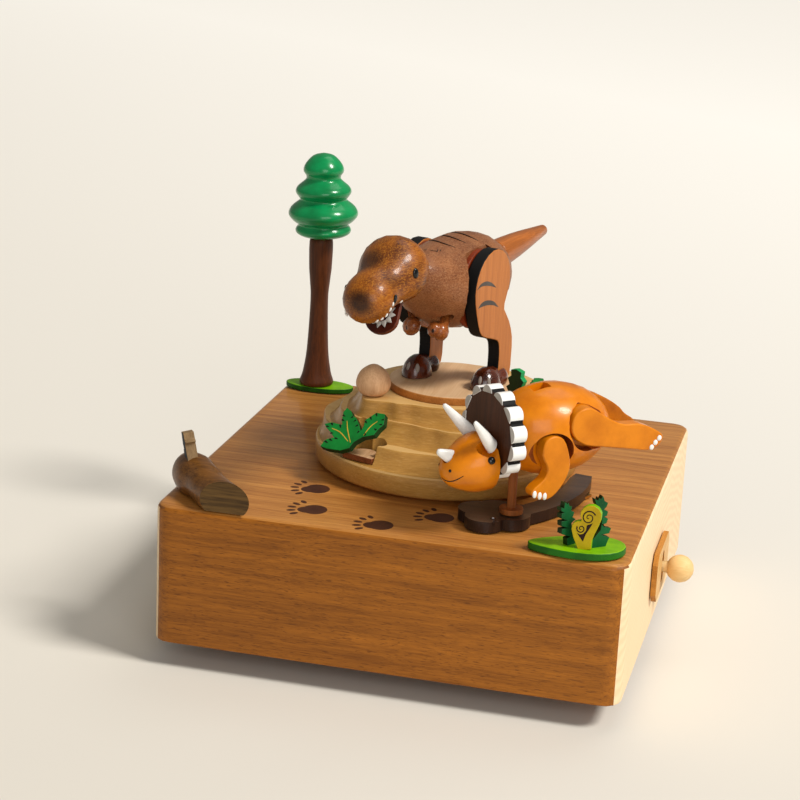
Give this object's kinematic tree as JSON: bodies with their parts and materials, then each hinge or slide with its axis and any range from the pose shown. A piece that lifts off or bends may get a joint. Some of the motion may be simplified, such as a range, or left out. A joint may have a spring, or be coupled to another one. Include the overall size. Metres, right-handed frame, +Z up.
{
  "type": "wooden music box with turning figures",
  "caption": "Square wooden clockwork music box: a stepped hill with a two-legged figure on a turntable and a horned figure that circles it, a tree, ferns and a stop knob.",
  "frame": {"origin": "middle of the underside of the winding base's pad, on the axis of the spindle, on the table", "axes": "+Z up along the spindle, +X to the right along the front face towards the stop knob, +Y from the front face to the back"},
  "size_m": [0.1354, 0.1274, 0.1189],
  "materials": {
    "brown_wood": "satin walnut-coloured varnish",
    "end_grain_wood": "satin pale varnish",
    "sand_wood": "satin pale varnish",
    "pink_wood": "satin clear varnish",
    "tan_plywood": "matte, laser-cut edges burnt black",
    "flecked_wood": "glossy stained beads with a flecked grain",
    "dark_foot": "gloss stain",
    "orange_wood": "satin orange stain",
    "walnut": "matte dark stain",
    "white_paint": "gloss white paint on wood",
    "leaf_green": "satin green paint on plywood",
    "lime_green": "satin lime paint on plywood",
    "canopy_green": "gloss green paint on turned wood",
    "olive": "satin olive paint on plywood",
    "bark_brown": "matte brown stain",
    "dark_carrier": "matte dark stain",
    "brass": "polished",
    "steel": "bright",
    "felt": "dense dark felt"
  },
  "bodies": {
    "housing": {"housing": "brown_wood", "bottom_panel": "end_grain_wood", "knob_plate": "end_grain_wood", "bedplate": "brass", "bridge": "brass", "centre_post": "brass", "comb": "steel", "hill": "sand_wood", "egg": "pink_wood", "nest": "pink_wood", "leaf_cluster": "leaf_green", "upright_leaf": "leaf_green", "side_leaf": "leaf_green", "tree_base": "lime_green", "tree_trunk": "bark_brown", "tree_canopy": "canopy_green", "fern_base": "lime_green", "fern_left": "leaf_green", "fern_right": "leaf_green", "fiddlehead": "olive", "rock_gourd": "pink_wood", "sprout": "walnut"},
    "winding": {"winding_base": "brown_wood", "base_pad": "felt", "winding_arbor": "steel"},
    "drive": {"spring_barrel": "brass", "mainspring": "steel", "drive_gear": "brass", "turntable_disc": "pink_wood", "rex_body": "flecked_wood", "rex_head": "flecked_wood", "rex_jaw": "flecked_wood", "rex_tail": "tan_plywood", "rex_hip_near": "flecked_wood", "rex_leg_near": "tan_plywood", "rex_foot_near": "dark_foot", "rex_hip_far": "flecked_wood", "rex_leg_far": "tan_plywood", "rex_foot_far": "dark_foot", "rex_arm_near": "flecked_wood", "rex_arm_far": "flecked_wood"},
    "transfer": {"transfer_pinions": "brass"},
    "orbit": {"orbit_gear": "brass", "orbit_arm": "steel", "carrier": "dark_carrier", "tri_stem": "tan_plywood", "tri_body": "orange_wood", "tri_head": "orange_wood", "tri_horn_near": "white_paint", "tri_horn_far": "white_paint", "tri_horn_nose": "white_paint", "tri_frill": "walnut", "tri_tail": "orange_wood", "tri_front_leg_near": "orange_wood", "tri_rear_leg_near": "orange_wood", "tri_front_leg_far": "orange_wood", "tri_rear_leg_far": "orange_wood"},
    "cylinder": {"pin_cylinder": "brass"},
    "governor": {"governor": "steel"},
    "switch": {"stop_lever": "end_grain_wood"}
  },
  "joints": [
    {"name": "winding_turn", "type": "hinge", "parent": "housing", "child": "winding", "pos_m": [0, 0, 0], "axis": [0, 0, 1], "range_deg": [0, 1260]},
    {"name": "drive_turn", "type": "hinge", "parent": "housing", "child": "drive", "pos_m": [0, 0, 0], "axis": [0, 0, 1], "continuous": true},
    {"name": "transfer_turn", "type": "hinge", "parent": "housing", "child": "transfer", "pos_m": [0, 0.024, 0], "axis": [0, 0, 1], "continuous": true},
    {"name": "orbit_turn", "type": "hinge", "parent": "housing", "child": "orbit", "pos_m": [0, 0, 0], "axis": [0, 0, 1], "continuous": true},
    {"name": "cylinder_turn", "type": "hinge", "parent": "housing", "child": "cylinder", "pos_m": [-0.033, 0, 0.02254], "axis": [1, 0, 0], "continuous": true},
    {"name": "governor_turn", "type": "hinge", "parent": "housing", "child": "governor", "pos_m": [-0.045, 0.0108, 0.02254], "axis": [1, 0, 0], "continuous": true},
    {"name": "stop_swing", "type": "hinge", "parent": "housing", "child": "switch", "pos_m": [0.0367, -0.0014, 0.023], "axis": [0, 1, 0], "range_deg": [-6, 6]}
  ],
  "couplings": [
    {"joint": "transfer_turn", "follows": "drive_turn", "ratio": -2},
    {"joint": "orbit_turn", "follows": "drive_turn", "ratio": 0.5},
    {"joint": "cylinder_turn", "follows": "drive_turn", "ratio": -4},
    {"joint": "governor_turn", "follows": "drive_turn", "ratio": 8}
  ]
}
